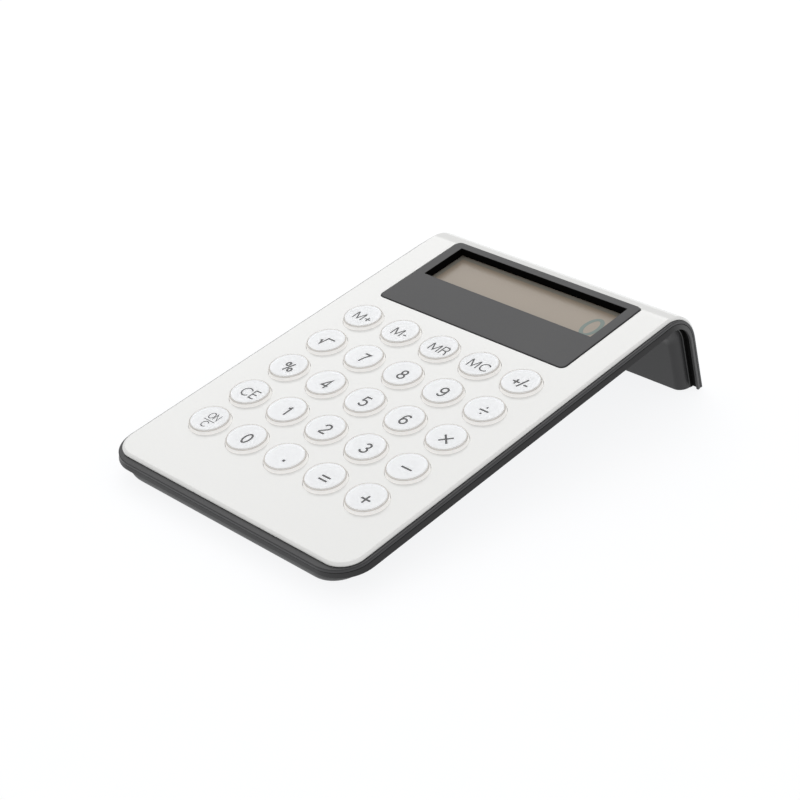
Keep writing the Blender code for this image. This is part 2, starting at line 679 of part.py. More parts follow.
def make_battery(cell_finish, contact_finish, door_finish, screw_finish):
    """Button cell, its two contacts, the door and the door's screw."""
    can = cylinder("button_cell", CELL_X, CELL_Y, CELL_RADIUS, CELL_LOW, CELL_TOP - ROOT, 24)
    cap = cylinder("cell_cap", CELL_X, CELL_Y, CELL_RADIUS - CELL_STEP, CELL_LOW + ROOT,
                   CELL_TOP, 24)
    add_part("button_cell", joined(can, [cap]), cell_finish)
    base = BOARD_TOP + GAP
    span = (CELL_Y - CONTACT_HALF, CELL_Y + CONTACT_HALF)
    leaf = box("battery_contact_minus", (CONTACT_LEFT, CONTACT_RIGHT), span,
               (LEAF_LOW, LEAF_TOP))
    tab = box("minus_tab", (CONTACT_LEFT, CONTACT_LEFT + LEAF_THICK), span,
              (base, (LEAF_LOW + LEAF_TOP) / 2.0))
    add_part("battery_contact_minus", joined(leaf, [tab]), contact_finish, smooth=False)
    edge = CELL_Y - CELL_RADIUS - GAP
    strip = box("battery_contact_plus", (CELL_X - PLUS_HALF, CELL_X + PLUS_HALF),
                (edge - LEAF_THICK, edge), (base, PLUS_TOP))
    foot = box("plus_foot", (CELL_X - PLUS_FOOT_HALF, CELL_X + PLUS_FOOT_HALF),
               (edge - LEAF_THICK - PLUS_FOOT_REACH, edge - LEAF_THICK / 2.0),
               (base, base + LEAF_THICK))
    add_part("battery_contact_plus", joined(strip, [foot]), contact_finish, smooth=False)
    plate = box("battery_door", (DOOR_LEFT, DOOR_RIGHT), (DOOR_FRONT, DOOR_REAR),
                (BOX_LOW, DOOR_TOP))
    pad = cylinder("pad", CELL_X, CELL_Y, DOOR_PAD, DOOR_TOP - ROOT, CELL_LOW - GAP, 16)
    hole = cylinder("hole", DOOR_SCREW_X, CELL_Y, SCREW_SHAFT + GAP, CUT_LOW, CUT_HIGH, 10)
    well = cylinder("well", DOOR_SCREW_X, CELL_Y, DOOR_WELL, CUT_LOW, BOX_LOW + DOOR_SEAT, 12)
    add_part("battery_door", cut(joined(plate, [pad]), [hole, well]), door_finish, smooth=False)
    head = cylinder("battery_door_screw", DOOR_SCREW_X, CELL_Y, DOOR_HEAD,
                    BOX_LOW + DOOR_SEAT - GAP - ROOT, DOOR_HEAD_TOP, 14)
    shaft = cylinder("shaft", DOOR_SCREW_X, CELL_Y, SCREW_SHAFT, DOOR_HEAD_TOP - ROOT / 2.0,
                     DOOR_SHAFT_TOP, 10)
    add_part("battery_door_screw", joined(head, [shaft]), screw_finish)


def make_case_screws(finish):
    """Six screws, all alike, from below."""
    head = cylinder("case_screw", 0.0, 0.0, SCREW_HEAD, HEAD_LOW, HEAD_TOP, 14)
    shaft = cylinder("shaft", 0.0, 0.0, SCREW_SHAFT, HEAD_TOP - ROOT, SCREW_TOP, 10)
    long_side = (-SLOT_HALF, SLOT_HALF)
    short_side = (-SLOT_WIDTH / 2.0, SLOT_WIDTH / 2.0)
    depth = (CUT_LOW, HEAD_LOW + SLOT_DEPTH)
    slots = [box("slot", long_side, short_side, depth), box("slot", short_side, long_side, depth)]
    mesh = cut(joined(head, [shaft]), slots)
    for number, (x, y) in enumerate(screw_spots(), start=1):
        screw = add_part("case_screw_%d" % number, mesh, finish)
        screw.location = (x, y, 0.0)


WHITE = material("cover_white", (0.85, 0.85, 0.84), 0.25)
BLACK = material("housing_black", (0.045, 0.045, 0.047), 0.45)
BEZEL = material("bezel_grey", (0.07, 0.07, 0.072), 0.4)
CLEAR = material("key_clear", (0.86, 0.88, 0.9), 0.1)
GLASS = material("lcd_grey", (0.35, 0.32, 0.28), 0.2)
HOLDER = material("holder_grey", (0.3, 0.3, 0.3), 0.5)
SILICONE = material("mat_silicone", (0.75, 0.75, 0.74), 0.6)
ZEBRA = material("zebra_rubber", (0.3, 0.1, 0.12), 0.6)
BOARD = material("board_brown", (0.22, 0.13, 0.06), 0.5)
RESIN = material("chip_resin", (0.02, 0.02, 0.02), 0.35)
CAN = material("capacitor_amber", (0.55, 0.28, 0.06), 0.4)
STEEL = material("cell_steel", (0.6, 0.6, 0.6), 0.25, 1.0)
SPRING = material("contact_nickel", (0.7, 0.68, 0.62), 0.3, 1.0)
SCREW = material("screw_zinc", (0.5, 0.5, 0.52), 0.35, 1.0)
RUBBER = material("foot_rubber", (0.03, 0.03, 0.03), 0.8)

TRIM = floor_cutter()
make_top_cover(WHITE, TRIM)
make_upper_housing(BLACK, TRIM)
make_lower_housing(BLACK, TRIM)
make_display(BEZEL, GLASS, HOLDER, ZEBRA)
make_keys(CLEAR)
make_mat(SILICONE)
make_board(BOARD, RESIN, CAN)
make_battery(STEEL, SPRING, BLACK, SCREW)
make_case_screws(SCREW)
make_feet(RUBBER)
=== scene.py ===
"""Desk calculator: fine meshes, materials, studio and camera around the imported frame.

Lengths are in metres. Most pieces are built in the deck's own frame, which the part
shares: the origin is the centre of the middle key on the cover's top face, +X is the
user's right, +Y runs up the slope and +Z points out of the cover. Bent shells are built
flat, with Y as the length along the cover's outer face, and then wrapped.
"""

import json
import math

import bmesh
import bpy
from mathutils import Matrix, Vector

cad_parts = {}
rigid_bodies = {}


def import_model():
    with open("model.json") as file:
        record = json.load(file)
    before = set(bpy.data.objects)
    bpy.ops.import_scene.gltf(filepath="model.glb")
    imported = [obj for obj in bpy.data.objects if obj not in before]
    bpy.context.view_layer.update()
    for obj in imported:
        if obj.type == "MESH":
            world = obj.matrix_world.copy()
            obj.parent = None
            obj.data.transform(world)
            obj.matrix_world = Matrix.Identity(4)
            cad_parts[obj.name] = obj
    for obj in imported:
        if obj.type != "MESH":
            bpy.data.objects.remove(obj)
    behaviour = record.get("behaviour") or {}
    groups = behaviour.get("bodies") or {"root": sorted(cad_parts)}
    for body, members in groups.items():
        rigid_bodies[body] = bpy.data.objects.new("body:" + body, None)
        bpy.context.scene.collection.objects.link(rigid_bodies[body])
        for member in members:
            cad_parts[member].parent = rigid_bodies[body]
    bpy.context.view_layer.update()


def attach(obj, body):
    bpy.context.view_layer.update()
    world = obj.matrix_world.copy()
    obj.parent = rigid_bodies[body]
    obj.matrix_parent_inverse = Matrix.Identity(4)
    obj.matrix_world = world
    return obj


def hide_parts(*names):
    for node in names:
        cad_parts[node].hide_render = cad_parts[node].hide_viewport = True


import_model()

MM = 0.001

# The deck's frame
TILT = math.radians(9.0)
DECK_HEIGHT = 18.55 * MM
DECK_SHIFT = -22.731 * MM
DECK = Matrix.Translation((0.0, DECK_SHIFT, DECK_HEIGHT)) @ Matrix.Rotation(TILT, 4, "X")
BODY_CLEARANCE = 0.5 * MM

# The bend at the back
BEND_START = 84.9 * MM
BEND_RADIUS = 15.0 * MM
BEND_ANGLE = math.radians(82.3)
BEND_STEPS = 24
LEG_LENGTH = 26.0 * MM
SHELL_REAR = BEND_START + BEND_RADIUS * BEND_ANGLE + LEG_LENGTH
CAVITY_REAR = SHELL_REAR - 8.5 * MM

# Keys
PITCH = 17.0 * MM
HOLE_RADIUS = 6.85 * MM
CAP_RADIUS = 6.5 * MM
CAP_TOP = 1.35 * MM
CAP_FLAT = 5.95 * MM
CAP_SHOULDER = 0.95 * MM
CUP_RIM = 0.88 * MM
CUP_INSIDE = 6.1 * MM
PRINT_LEVEL = -0.43 * MM
LAP = 0.02 * MM
SKIRT_RADIUS = 6.75 * MM
FLANGE_RADIUS = 7.4 * MM
FLANGE_TOP = -2.4 * MM
KEY_LOW = -2.9 * MM
SOFT = 0.05 * MM
KEY_ROWS = (
    ("on_c", "0", "point", "equals", "plus"),
    ("ce", "1", "2", "3", "minus"),
    ("percent", "4", "5", "6", "multiply"),
    ("sqrt", "7", "8", "9", "divide"),
    ("m_plus", "m_minus", "mr", "mc", "sign"),
)
CIRCLE_STEPS = 64
CORNER_STEPS = 14

# Middle of the rear feet on the floor
REAR_FOOT = 79.172 * MM

# White cover
COVER_HALF = 50.75 * MM
COVER_FRONT = -60.0 * MM
COVER_CORNER = 7.8 * MM
COVER_THICK = 1.0 * MM
COVER_EDGE = 0.9 * MM

# Upper housing
LIP_HALF = 51.9 * MM
LIP_FRONT = -62.3 * MM
LIP_CORNER = 10.8 * MM
LIP_TOP = -1.1 * MM
LIP_LOW = -2.1 * MM
LEG_HALF = 51.4 * MM

# Lower housing: a flaring rim round an inset box
RIM_HALF = 52.0 * MM
RIM_FRONT = -62.25 * MM
RIM_CORNER = 10.9 * MM
RIM_TOP = -2.25 * MM
RIM_LOW = -3.8 * MM
RIM_SOFT = 0.12 * MM
BOX_HALF = 48.6 * MM
BOX_FRONT = -61.4 * MM
BOX_CORNER = 10.0 * MM
BOX_LOW = -8.6 * MM
BOX_EDGE = 3.9 * MM
CAVITY_HALF = 47.0 * MM
CAVITY_FRONT = -59.8 * MM
CAVITY_CORNER = 8.4 * MM
GROOVE_X = 49.85 * MM
GROOVE_HALF = 1.05 * MM
GROOVE_FRONT = 88.0 * MM
GROOVE_REAR = SHELL_REAR - 2.5 * MM
GROOVE_TOP = -2.75 * MM
GROOVE_LOW = -5.0 * MM

# Both housings narrow over the bend
TAPER_START = 78.0 * MM
TAPER_END = 104.0 * MM

# Bezel and display
BEZEL_HALF = 39.45 * MM
BEZEL_FRONT = 47.3 * MM
BEZEL_REAR = 87.45 * MM
BEZEL_CORNER = 1.9 * MM
BEZEL_TOP = 0.2 * MM
BEZEL_LOW = -1.0 * MM
WINDOW_HALF = 35.73 * MM
WINDOW_FRONT = 65.55 * MM
WINDOW_REAR = 84.5 * MM
WELL_WALL = 1.1 * MM
WELL_LOW = -2.7 * MM
GLASS_HALF = 36.9 * MM
GLASS_FRONT = 63.9 * MM
GLASS_REAR = 86.4 * MM
GLASS_TOP = -3.0 * MM
GLASS_LOW = -4.3 * MM
PRINT_RISE = 0.02 * MM

# Case screws and battery door
SCREW_X = 40.6 * MM
SCREW_ROWS = (-53.0 * MM, 8.5 * MM, 56.0 * MM)
SCREW_HEAD = 2.0 * MM
WELL_RADIUS = 2.35 * MM
DOOR_X = -21.85 * MM
DOOR_HALF = 9.35 * MM
DOOR_FRONT = 44.5 * MM
DOOR_REAR = 58.9 * MM
DOOR_GAP = 0.3 * MM
DOOR_TOP = -7.55 * MM
DOOR_SCREW = (-14.8 * MM, 51.7 * MM)
DOOR_WELL = 1.6 * MM
DOOR_SCREW_HEAD = 1.3 * MM

# Feet
FOOT_X = 28.0 * MM
FOOT_HALF = 8.0 * MM
FOOT_DEPTH = 1.8 * MM
FOOT_HEIGHT = 1.1 * MM


# ---------------------------------------------------------------- outlines and solids

def rectangle(half, front, rear, corner, z, rear_corner=0.0, steps=CORNER_STEPS, x=0.0):
    """A ring of points round a rectangle whose corners are arcs."""
    points = []
    corners = (
        (x + half - rear_corner, rear - rear_corner, rear_corner, 0.0),
        (x - half + rear_corner, rear - rear_corner, rear_corner, 90.0),
        (x - half + corner, front + corner, corner, 180.0),
        (x + half - corner, front + corner, corner, 270.0),
    )
    for middle_x, middle_y, radius, start in corners:
        count = steps if radius > 0.0 else 0
        for step in range(count + 1):
            angle = math.radians(start + 90.0 * step / max(count, 1))
            points.append(Vector((middle_x + radius * math.cos(angle),
                                  middle_y + radius * math.sin(angle), z)))
    return points


def narrowing(half, leg_half, front, corner, z):
    """A ring like rectangle's that narrows smoothly to the leg over the bend."""
    steps = 8
    side = []
    for step in range(1, steps + 1):
        share = step / steps
        ease = share * share * (3.0 - 2.0 * share)
        side.append((half + (leg_half - half) * ease,
                     TAPER_START + (TAPER_END - TAPER_START) * share))
    middle = rectangle(half, front, TAPER_START, corner, z)
    right = [Vector((x, y, z)) for x, y in side]
    left = [Vector((-x, y, z)) for x, y in reversed(side)]
    rear = [Vector((x, SHELL_REAR, z)) for x in (leg_half, -leg_half)]
    return rear + left + middle[1:] + middle[:1] + right


def circle(x, y, radius, z, steps=CIRCLE_STEPS):
    """A ring of points round a circle."""
    return [Vector((x + radius * math.cos(2.0 * math.pi * step / steps),
                    y + radius * math.sin(2.0 * math.pi * step / steps), z))
            for step in range(steps)]


def quarter(steps):
    """(sine, 1 - cosine) pairs over a quarter turn, from level to upright."""
    for step in range(steps + 1):
        angle = math.radians(90.0 * step / steps)
        yield math.sin(angle), 1.0 - math.cos(angle)


def rounded_wall(ring_at, top, low, top_round, low_round, steps=4):
    """Rings down a wall whose two edges are rounded; ring_at(inset, z) gives one ring."""
    rings = [ring_at(top_round * (1.0 - out), top - top_round * down)
             for out, down in quarter(steps)]
    rings += [ring_at(low_round * (1.0 - out), low + low_round * down)
              for out, down in reversed(list(quarter(steps)))]
    return rings


def add_strip(form, rings):
    """Join a list of rings with quads and return the rings' vertices."""
    loops = [[form.verts.new(point) for point in ring] for ring in rings]
    for upper, lower in zip(loops, loops[1:]):
        count = len(upper)
        for index in range(count):
            after = (index + 1) % count
            form.faces.new((upper[index], upper[after], lower[after], lower[index]))
    return loops


def fill(form, loops):
    """Fill the flat area between one outer loop of vertices and the loops inside it."""
    edges = []
    for loop in loops:
        for first, second in zip(loop, loop[1:] + loop[:1]):
            edges.append(form.edges.get((first, second)) or form.edges.new((first, second)))
    bmesh.ops.triangle_fill(form, use_beauty=True, use_dissolve=False, edges=edges)


def solid(walls, top_pockets=(), low_pockets=()):
    """A closed body from the rings of its walls, through holes and pockets."""
    form = bmesh.new()
    tops, lows = [], []
    for rings in walls:
        loops = add_strip(form, rings)
        tops.append(loops[0])
        lows.append(loops[-1])
    for rings in top_pockets:
        loops = add_strip(form, rings)
        tops.append(loops[0])
        fill(form, [loops[-1]])
    for rings in low_pockets:
        loops = add_strip(form, rings)
        lows.append(loops[0])
        fill(form, [loops[-1]])
    fill(form, tops)
    fill(form, lows)
    bmesh.ops.recalc_face_normals(form, faces=form.faces)
    return form


def carved(form, tool):
    """Cut one closed body out of another; the cut's faces take the second material."""
    for face in tool.faces:
        face.material_index = 1
    items = []
    for label, shape in (("body", form), ("tool", tool)):
        mesh = bpy.data.meshes.new(label)
        shape.to_mesh(mesh)
        shape.free()
        for _ in range(2):
            mesh.materials.append(None)
        item = bpy.data.objects.new(label, mesh)
        bpy.context.scene.collection.objects.link(item)
        items.append(item)
    step = items[0].modifiers.new("carve", "BOOLEAN")
    step.operation = "DIFFERENCE"
    step.solver = "EXACT"
    step.object = items[1]
    graph = bpy.context.evaluated_depsgraph_get()
    made = bpy.data.meshes.new_from_object(items[0].evaluated_get(graph))
    result = bmesh.new()
    result.from_mesh(made)
    for item in items:
        bpy.data.objects.remove(item, do_unlink=True)
    bpy.data.meshes.remove(made)
    return result


def turned(profile, steps=CIRCLE_STEPS, x=0.0, y=0.0):
    """A closed body of revolution about an upright axis, from (radius, z) points."""
    form = bmesh.new()
    loops = add_strip(form, [circle(x, y, radius, z, steps) for radius, z in profile])
    fill(form, [loops[0]])
    fill(form, [loops[-1]])
    bmesh.ops.recalc_face_normals(form, faces=form.faces)
    return form


def wrap_point(point):
    """Carry a point of a flat shell over the bend and down the leg."""
    if point.y <= BEND_START:
        return point.copy()
    swept = min((point.y - BEND_START) / BEND_RADIUS, BEND_ANGLE)
    beyond = point.y - BEND_START - BEND_RADIUS * swept
    radius = BEND_RADIUS + point.z
    y = BEND_START + radius * math.sin(swept) + beyond * math.cos(BEND_ANGLE)
    z = radius * math.cos(swept) - BEND_RADIUS - beyond * math.sin(BEND_ANGLE)
    return Vector((point.x, y, z))


def everything(form):
    """All the geometry of a bmesh, as its operators take it."""
    return form.verts[:] + form.edges[:] + form.faces[:]


def wrap(form):
    """Cut a flat shell across the bend, wrap it and trim the leg level above the floor."""
    for step in range(BEND_STEPS + 1):
        line = BEND_START + BEND_RADIUS * BEND_ANGLE * step / BEND_STEPS
        bmesh.ops.bisect_plane(form, geom=everything(form), dist=0.0005 * MM,
                               plane_co=(0.0, line, 0.0), plane_no=(0.0, 1.0, 0.0))
    for vert in form.verts:
        vert.co = wrap_point(vert.co)
    to_deck = DECK.inverted()
    level = to_deck @ Vector((0.0, 0.0, BODY_CLEARANCE))
    up = to_deck.to_3x3() @ Vector((0.0, 0.0, 1.0))
    cut = bmesh.ops.bisect_plane(form, geom=everything(form), dist=0.0005 * MM, plane_co=level,
                                 plane_no=up, clear_inner=True)
    rim = [item for item in cut["geom_cut"] if isinstance(item, bmesh.types.BMEdge)]
    bmesh.ops.triangle_fill(form, use_beauty=True, use_dissolve=False, edges=rim)
    bmesh.ops.recalc_face_normals(form, faces=form.faces)
    return form


# ---------------------------------------------------------------- pieces

def add_piece(name, form, finish, body, node=None, place=DECK, angle=35.0):
    """Make a bmesh a smooth piece that rides on a body and may stand for a CAD node."""
    form.transform(place)
    mesh = bpy.data.meshes.new(name)
    form.to_mesh(mesh)
    form.free()
    mesh.shade_smooth()
    mesh.set_sharp_from_angle(angle=math.radians(angle))
    piece = bpy.data.objects.new(name, mesh)
    bpy.context.scene.collection.objects.link(piece)
    mesh.materials.append(finish)
    normals = piece.modifiers.new("normals", "WEIGHTED_NORMAL")
    normals.keep_sharp = True
    normals.weight = 100
    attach(piece, body)
    if node:
        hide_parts(node)
    return piece


# ---------------------------------------------------------------- materials

def node_material(name, colour, roughness, **sockets):
    """A Principled material, with its even values set on the shader's own sockets."""
    made = bpy.data.materials.new(name)
    made.use_nodes = True
    shader = made.node_tree.nodes["Principled BSDF"]
    shader.inputs["Base Color"].default_value = (*colour, 1.0)
    shader.inputs["Roughness"].default_value = roughness
    for key, value in sockets.items():
        shader.inputs[key.replace("_", " ")].default_value = value
    return made


def textured(made, colours, grain, mottle, roughness, bump, depth=0.02 * MM):
    """Give a material fine grain, soft mottling, uneven roughness and a bump.

    colours are the darkest and lightest colour, grain and mottle are cells per metre,
    roughness is its lowest and highest value, and bump is the strength of the relief.
    """
    tree = made.node_tree
    shader = tree.nodes["Principled BSDF"]
    place = tree.nodes.new("ShaderNodeTexCoord")
    fine = tree.nodes.new("ShaderNodeTexNoise")
    fine.inputs["Scale"].default_value = grain
    fine.inputs["Detail"].default_value = 3.0
    broad = tree.nodes.new("ShaderNodeTexNoise")
    broad.inputs["Scale"].default_value = mottle
    broad.inputs["Detail"].default_value = 2.0
    tint = tree.nodes.new("ShaderNodeValToRGB")
    tint.color_ramp.elements[0].position = 0.3
    tint.color_ramp.elements[1].position = 0.7
    tint.color_ramp.elements[0].color = (*colours[0], 1.0)
    tint.color_ramp.elements[1].color = (*colours[1], 1.0)
    gloss = tree.nodes.new("ShaderNodeMapRange")
    gloss.inputs["To Min"].default_value = roughness[0]
    gloss.inputs["To Max"].default_value = roughness[1]
    relief = tree.nodes.new("ShaderNodeBump")
    relief.inputs["Strength"].default_value = bump
    relief.inputs["Distance"].default_value = depth
    mix = tree.nodes.new("ShaderNodeMix")
    mix.data_type = "FLOAT"
    mix.inputs[0].default_value = 0.5
    links = tree.links
    for texture in (fine, broad):
        links.new(place.outputs["Object"], texture.inputs["Vector"])
    links.new(fine.outputs["Fac"], mix.inputs[2])
    links.new(broad.outputs["Fac"], mix.inputs[3])
    links.new(mix.outputs[0], tint.inputs["Fac"])
    links.new(tint.outputs["Color"], shader.inputs["Base Color"])
    links.new(broad.outputs["Fac"], gloss.inputs["Value"])
    links.new(gloss.outputs["Result"], shader.inputs["Roughness"])
    links.new(fine.outputs["Fac"], relief.inputs["Height"])
    links.new(relief.outputs["Normal"], shader.inputs["Normal"])
    return made


def plastic(name, colour, roughness, spread=0.06, grain=2600.0, bump=0.06, **sockets):
    """Moulded plastic: fine even grain and a faint mottle around one colour."""
    dark = [value * (1.0 - spread) for value in colour]
    light = [min(value * (1.0 + spread), 1.0) for value in colour]
    made = node_material(name, colour, roughness, **sockets)
    return textured(made, (dark, light), grain, 60.0,
                    (roughness * 0.9, roughness * 1.1), bump)


def metal(name, colour, roughness):
    """Plated metal with fine uneven polish."""
    dark = [value * 0.85 for value in colour]
    made = node_material(name, colour, roughness, Metallic=1.0)
    return textured(made, (dark, colour), 1800.0, 300.0, (roughness * 0.7, roughness * 1.3), 0.15)


WHITE = plastic("cover_white", (0.83, 0.83, 0.815), 0.16, spread=0.006, grain=900.0, bump=0.012,
                Coat_Weight=0.35, Coat_Roughness=0.06)
LIP = plastic("housing_black", (0.024, 0.024, 0.026), 0.42, bump=0.1)
RIM = plastic("housing_rim", (0.014, 0.014, 0.015), 0.42, bump=0.1)
# Painted shade: a near-black copy of the bezel's grey for the window's inner walls, standing in for
# the shade inside the deep window
WINDOW_WALL_SHADE = plastic("window_wall_painted_shade", (0.002, 0.002, 0.002), 0.8, Specular_IOR_Level=0.03)
# Painted shade: a near-black, low-sheen copy of the housing's black for the faces of the deep side
# grooves, standing in for the shade in them
GROOVE_PAINTED_SHADE = plastic("groove_painted_shade", (0.004, 0.004, 0.004), 0.7, Specular_IOR_Level=0.1)
BEZEL = plastic("bezel_grey", (0.039, 0.039, 0.041), 0.5, spread=0.25, grain=5200.0, bump=0.25)
CLEAR = node_material("key_clear", (0.985, 0.99, 1.0), 0.0, Transmission_Weight=1.0, IOR=1.49)
# Painted light: the white cups inside the clear keys glow faintly through their emission, though
# they are no lamp
CARRIER = plastic("key_white_painted_glow", (0.955, 0.965, 0.975), 0.5, spread=0.004, bump=0.01,
                  Emission_Color=(1.0, 1.0, 1.0, 1.0), Emission_Strength=0.19)
# Painted shade and painted light: a darker beige copy of the cups' white for their outer walls and
# undersides, standing in for the shade seen through the cap's edge, and glowing faintly though no
# lamp
KEY_SIDE_PAINTED_SHADE = plastic("key_side_painted_shade_and_glow", (0.82, 0.81, 0.795), 0.4, spread=0.004, bump=0.01,
               Emission_Color=(1.0, 0.98, 0.95, 1.0), Emission_Strength=0.26)
# Painted shade: beige-tinted clear glass for the caps' rounded shoulders and sides, standing in for
# the shade seen at the key's edge
CAP_EDGE_PAINTED_SHADE = node_material("key_edge_painted_shade", (0.58, 0.55, 0.51), 0.03, Transmission_Weight=1.0, IOR=1.49)
INK = plastic("legend_ink", (0.02, 0.021, 0.023), 0.6, spread=0.1, Specular_IOR_Level=0.0)
POLARISER = plastic("lcd_polariser", (0.315, 0.258, 0.198), 0.3, spread=0.05, grain=4000.0,
                    bump=0.03)
MARGIN = plastic("lcd_margin", (0.25, 0.235, 0.2), 0.3, spread=0.05, bump=0.03)
DIGIT = plastic("lcd_digit", (0.13, 0.185, 0.16), 0.3, spread=0.05, bump=0.03)
RUBBER = plastic("foot_rubber", (0.028, 0.028, 0.03), 0.8, spread=0.2, grain=3500.0, bump=0.4)
SCREW = metal("screw_zinc", (0.5, 0.5, 0.52), 0.32)
FLOOR = plastic("floor_white", (0.13, 0.13, 0.13), 0.9, spread=0.01, grain=80.0, bump=0.0,
                Emission_Color=(0.985, 0.99, 1.0, 1.0), Emission_Strength=0.88)


# ---------------------------------------------------------------- the white cover

def key_spots():
    """Name and centre of every key, row by row from the user."""
    for row, names in enumerate(KEY_ROWS):
        for column, name in enumerate(names):
            yield name, (column - 2) * PITCH, (row - 2) * PITCH


def make_cover():
    """Glossy shell with a rounded rim, softly edged key holes and the bezel opening."""
    def outer(inset, z):
        return rectangle(COVER_HALF - inset, COVER_FRONT + inset, SHELL_REAR,
                         COVER_CORNER - inset, z)

    def opening(inset, z):
        return rectangle(39.8 * MM - inset, 47.0 * MM + inset, 87.75 * MM - inset,
                         2.2 * MM, z, 2.2 * MM, 8)

    walls = [rounded_wall(outer, 0.0, -COVER_THICK, COVER_EDGE, 0.05 * MM, 7),
             rounded_wall(lambda inset, z: opening(-inset, z), 0.0, -COVER_THICK, 0.12 * MM,
                          0.05 * MM, 2)]
    for _, x, y in key_spots():
        def hole(inset, z, x=x, y=y):
            return circle(x, y, HOLE_RADIUS + inset, z)
        walls.append(rounded_wall(hole, 0.0, -COVER_THICK, 0.14 * MM, 0.05 * MM, 3))
    add_piece("cover", wrap(solid(walls)), WHITE, "case", "top_cover")


def make_upper_housing():
    """Black plate between the cover and the seam; its lip shows all round."""
    def outer(inset, z):
        return narrowing(LIP_HALF - inset, LEG_HALF - inset, LIP_FRONT + inset,
                         LIP_CORNER - inset, z)

    def window(inset, z):
        return rectangle(37.4 * MM, 64.0 * MM, 86.4 * MM, 0.5 * MM, z, 0.5 * MM, 3)

    walls = [rounded_wall(outer, LIP_TOP, LIP_LOW, 0.3 * MM, 0.12 * MM, 4),
             rounded_wall(window, LIP_TOP, LIP_LOW, 0.1 * MM, 0.1 * MM, 1)]
    for _, x, y in key_spots():
        def hole(inset, z, x=x, y=y):
            return circle(x, y, HOLE_RADIUS + inset, z, 32)
        walls.append(rounded_wall(hole, LIP_TOP, LIP_LOW, 0.1 * MM, 0.1 * MM, 1))
    add_piece("upper_shell", wrap(solid(walls)), LIP, "case", "upper_housing")


def make_lower_housing():
    """Flaring rim around an inset box, hollow inside, with wells for screws and the door."""
    def rim(flare, z):
        return narrowing(RIM_HALF + flare, LEG_HALF + 0.35 * flare, RIM_FRONT - 0.3 * flare,
                         RIM_CORNER + 0.8 * flare, z)

    def tub(inset, z):
        ring = rectangle(BOX_HALF - 0.75 * inset, BOX_FRONT + 0.55 * inset, SHELL_REAR,
                         BOX_CORNER - 0.5 * inset, z)
        left = [ring[1].lerp(ring[2], step / 10.0) for step in range(1, 10)]
        right = [ring[-1].lerp(ring[0], step / 10.0) for step in range(1, 10)]
        return ring[:2] + left + ring[2:] + right

    outer = [rim(-RIM_SOFT, RIM_TOP), rim(0.0, RIM_TOP - RIM_SOFT),
             rim(0.72 * MM, RIM_LOW + 0.3 * MM), rim(0.78 * MM, RIM_LOW + 0.15 * MM),
             rim(0.62 * MM, RIM_LOW)]
    outer += [tub(-0.6 * MM, RIM_LOW), tub(0.0, RIM_LOW - 0.5 * MM)]
    outer += [tub(BOX_EDGE * down, BOX_LOW + BOX_EDGE * (1.0 - out)) for out, down in quarter(8)]

    def cavity(inset, z):
        return rectangle(CAVITY_HALF - inset, CAVITY_FRONT + inset, CAVITY_REAR - inset,
                         CAVITY_CORNER - inset, z, 1.0 * MM, 8)

    hollow = [cavity(0.0, RIM_TOP), cavity(0.0, -5.1 * MM), cavity(0.7 * MM, -6.6 * MM),
              cavity(2.2 * MM, -7.3 * MM)]
    wells = [[circle(x, y, radius, BOX_LOW + rise, 32) for radius, rise in (
        (WELL_RADIUS + 0.1 * MM, 0.0), (WELL_RADIUS, 0.1 * MM), (WELL_RADIUS, 1.2 * MM))]
             for x in (-SCREW_X, SCREW_X) for y in SCREW_ROWS]
    door = [rectangle(DOOR_HALF + DOOR_GAP + grow, DOOR_FRONT - DOOR_GAP - grow,
                      DOOR_REAR + DOOR_GAP + grow, 0.8 * MM + grow, BOX_LOW + rise,
                      0.8 * MM + grow, 4, x=DOOR_X)
            for grow, rise in ((0.12 * MM, 0.0), (0.0, 0.12 * MM), (0.0, 1.15 * MM))]
    form = solid([outer], [hollow], wells + [door])
    for side in (-1.0, 1.0):
        groove = [rectangle(GROOVE_HALF, GROOVE_FRONT, GROOVE_REAR, 0.2 * MM, z, 1.0 * MM, 6,
                            x=side * GROOVE_X) for z in (GROOVE_LOW, GROOVE_TOP)]
        form = carved(form, solid([groove]))
    piece = add_piece("lower_shell", wrap(form), RIM, "case", "lower_housing")
    # The grooves' cut faces take this second, near-black material: painted shade in the grooves
    piece.data.materials.append(GROOVE_PAINTED_SHADE)


# ---------------------------------------------------------------- bezel and display

def make_bezel():
    """Grained plate with a deep window."""
    def outer(inset, z):
        return rectangle(BEZEL_HALF - inset, BEZEL_FRONT + inset, BEZEL_REAR - inset,
                         BEZEL_CORNER - inset, z, BEZEL_CORNER - inset, 8)

    def window(inset, z):
        return rectangle(WINDOW_HALF + inset, WINDOW_FRONT - inset, WINDOW_REAR + inset,
                         0.15 * MM, z, 0.15 * MM, 3)

    soft = 0.12 * MM
    inner = [window(soft * (1.0 - out), BEZEL_TOP - soft * down) for out, down in quarter(2)]
    inner += [window(0.0, WELL_LOW), window(WELL_WALL, WELL_LOW), window(WELL_WALL, BEZEL_LOW)]
    form = solid([rounded_wall(outer, BEZEL_TOP, BEZEL_LOW, 0.22 * MM, 0.05 * MM, 4), inner])
    # The window's upright walls take the second, near-black material: painted shade inside the
    # window
    near = 0.1 * MM
    for face in form.faces:
        spot = face.calc_center_median()
        inside = (abs(spot.x) < WINDOW_HALF + near
                  and WINDOW_FRONT - near < spot.y < WINDOW_REAR + near)
        if inside and abs(face.normal.z) < 0.1:
            face.material_index = 1
    piece = add_piece("bezel", form, BEZEL, "case", "display_bezel")
    piece.data.materials.append(WINDOW_WALL_SHADE)


